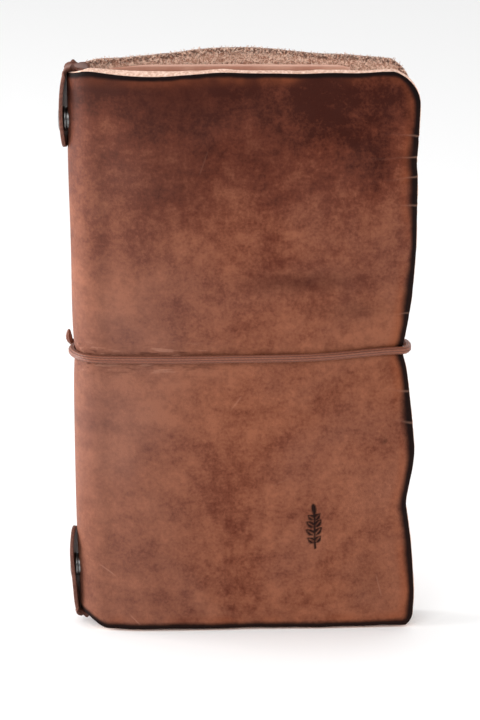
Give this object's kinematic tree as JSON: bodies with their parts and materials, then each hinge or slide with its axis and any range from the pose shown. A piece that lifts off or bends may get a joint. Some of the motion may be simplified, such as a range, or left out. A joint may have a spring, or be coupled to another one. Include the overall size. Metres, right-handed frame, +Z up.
{
  "type": "leather notebook cover",
  "caption": "Folded hide cover for slim notebook inserts, with a snapped retaining strap inside the spine, an inner pocket and an elastic closure.",
  "frame": {"origin": "bottom centre of the closed cover's bounding box, elastic left out", "axes": "+X from the folded spine to the fore edge, -Y out of the front cover, +Z up to the head edge"},
  "size_m": [0.1367, 0.0336, 0.2225],
  "materials": {
    "hide": "waxed vegetable-tanned hide, mottled reddish brown, burnished dark at the edges, pale raw flesh side",
    "pocket_leather": "thin natural leather, smooth",
    "strap_leather": "thin brown strap leather",
    "snap_metal": "nickel-plated snap fastener",
    "thread": "waxed thread",
    "elastic": "woven elastic cord, reddish brown"
  },
  "bodies": {
    "spine": {"spine_leather": "hide", "strap_inner_run": "strap_leather", "top_snap_stud": "snap_metal", "top_snap_post": "snap_metal", "bottom_snap_stud": "snap_metal", "bottom_snap_post": "snap_metal", "elastic_spine_run": "elastic", "elastic_knot": "elastic"},
    "front_cover": {"front_cover": "hide", "elastic_front_run": "elastic"},
    "back_cover": {"back_cover": "hide", "inner_pocket": "pocket_leather", "pocket_thread": "thread", "elastic_back_run": "elastic"},
    "top_tab": {"strap_top_tab": "strap_leather", "top_snap_cap": "snap_metal", "top_snap_socket": "snap_metal"},
    "bottom_tab": {"strap_bottom_tab": "strap_leather", "bottom_snap_cap": "snap_metal", "bottom_snap_socket": "snap_metal"}
  },
  "joints": [
    {"name": "front_cover_fold", "type": "hinge", "parent": "spine", "child": "front_cover", "pos_m": [-0.05044, -0.01357, 0.11], "axis": [0, 0, -1], "range_deg": [0, 90]},
    {"name": "back_cover_fold", "type": "hinge", "parent": "spine", "child": "back_cover", "pos_m": [-0.05044, 0.01143, 0.11], "axis": [0, 0, 1], "range_deg": [0, 90]},
    {"name": "top_tab_fold", "type": "hinge", "parent": "spine", "child": "top_tab", "pos_m": [-0.06604, -0.00107, 0.21995], "axis": [0, 1, 0], "range_deg": [0, 90]},
    {"name": "bottom_tab_fold", "type": "hinge", "parent": "spine", "child": "bottom_tab", "pos_m": [-0.06604, -0.00107, 0.00325], "axis": [0, -1, 0], "range_deg": [0, 90]}
  ]
}
